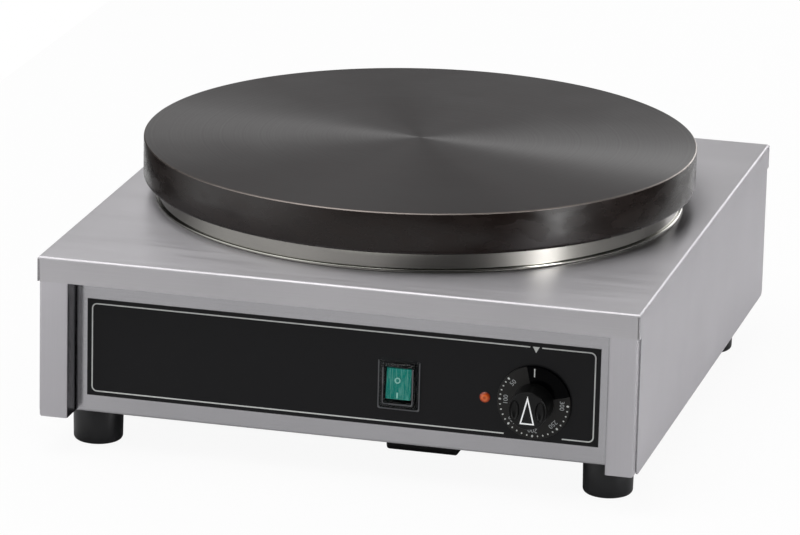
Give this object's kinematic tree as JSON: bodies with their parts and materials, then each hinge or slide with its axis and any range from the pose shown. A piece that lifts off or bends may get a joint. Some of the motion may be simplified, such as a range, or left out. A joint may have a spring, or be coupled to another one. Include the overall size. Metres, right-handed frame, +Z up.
{
  "type": "electric crepe maker",
  "caption": "Countertop electric crepe maker: folded steel casing on rubber feet, round cast cooking plate, recessed front panel with rocker switch, pilot lamp and turning thermostat knob.",
  "frame": {"origin": "on the floor under the cooking plate's axis", "axes": "+Z up along the plate's axis, -Y towards the control panel, +X to the right seen from it"},
  "size_m": [0.429, 0.4863, 0.1915],
  "materials": {
    "stainless_sheet": "satin brushed",
    "polished_ring": "polished",
    "zinc_steel": "zinc-plated",
    "cast_plate": "turned and seasoned",
    "element_sheath": "oxidised",
    "rubber_black": "matt",
    "fascia_black": "satin",
    "knob_black": "semi-gloss",
    "housing_black": "matt",
    "rocker_green": "gloss, translucent",
    "clear_cover": "clear",
    "lens_orange": "gloss",
    "ceramic_white": "unglazed",
    "fibre_white": "ceramic fibre blanket",
    "copper": "drawn",
    "brass": "plain",
    "wire_brown": "gloss",
    "wire_blue": "gloss",
    "wire_green": "gloss"
  },
  "bodies": {
    "casing": {"top_panel": "stainless_sheet", "left_side_panel": "stainless_sheet", "right_side_panel": "stainless_sheet", "front_panel": "stainless_sheet", "control_fascia": "fascia_black", "back_panel": "stainless_sheet", "base_plate": "stainless_sheet", "base_screws": "zinc_steel", "base_nuts": "zinc_steel", "back_panel_screws": "zinc_steel", "terminal_cover": "housing_black", "terminal_cover_screws": "zinc_steel", "foot_front_left": "rubber_black", "foot_front_right": "rubber_black", "foot_back_left": "rubber_black", "foot_back_right": "rubber_black", "foot_screws": "zinc_steel", "foot_nuts": "zinc_steel", "cooking_plate": "cast_plate", "plate_ring": "polished_ring", "heating_element": "element_sheath", "element_insulators": "ceramic_white", "element_clamp": "zinc_steel", "plate_studs": "zinc_steel", "stud_nuts": "zinc_steel", "insulation_disc": "fibre_white", "heat_pan": "zinc_steel", "front_bridge": "zinc_steel", "back_bridge": "zinc_steel", "thermostat_body": "zinc_steel", "thermostat_screws": "zinc_steel", "thermostat_bulb": "copper", "capillary_tube": "copper", "bulb_clip": "zinc_steel", "bulb_clip_screw": "zinc_steel", "switch_housing": "housing_black", "switch_pin": "zinc_steel", "switch_cover": "clear_cover", "switch_terminals": "brass", "lamp_lens": "lens_orange", "lamp_body": "ceramic_white", "lamp_clip": "zinc_steel", "terminal_block": "ceramic_white", "terminal_block_screws": "zinc_steel", "gland_body": "housing_black", "gland_nut": "housing_black", "gland_locknut": "housing_black", "gland_seal": "rubber_black", "earth_stud": "brass", "live_wires": "wire_brown", "neutral_wires": "wire_blue", "earth_wire": "wire_green"},
    "knob": {"knob_grip": "knob_black", "knob_dial": "knob_black", "knob_clip": "zinc_steel", "thermostat_shaft": "zinc_steel"},
    "rocker": {"switch_rocker": "rocker_green"}
  },
  "joints": [
    {"name": "knob_turn", "type": "hinge", "parent": "casing", "child": "knob", "pos_m": [0.1384, -0.2113, 0.0702], "axis": [0, 1, 0], "range_deg": [0, 270]},
    {"name": "rocker_tilt", "type": "hinge", "parent": "casing", "child": "rocker", "pos_m": [0.0421, -0.2083, 0.073], "axis": [1, 0, 0], "range_deg": [0, 16]}
  ]
}
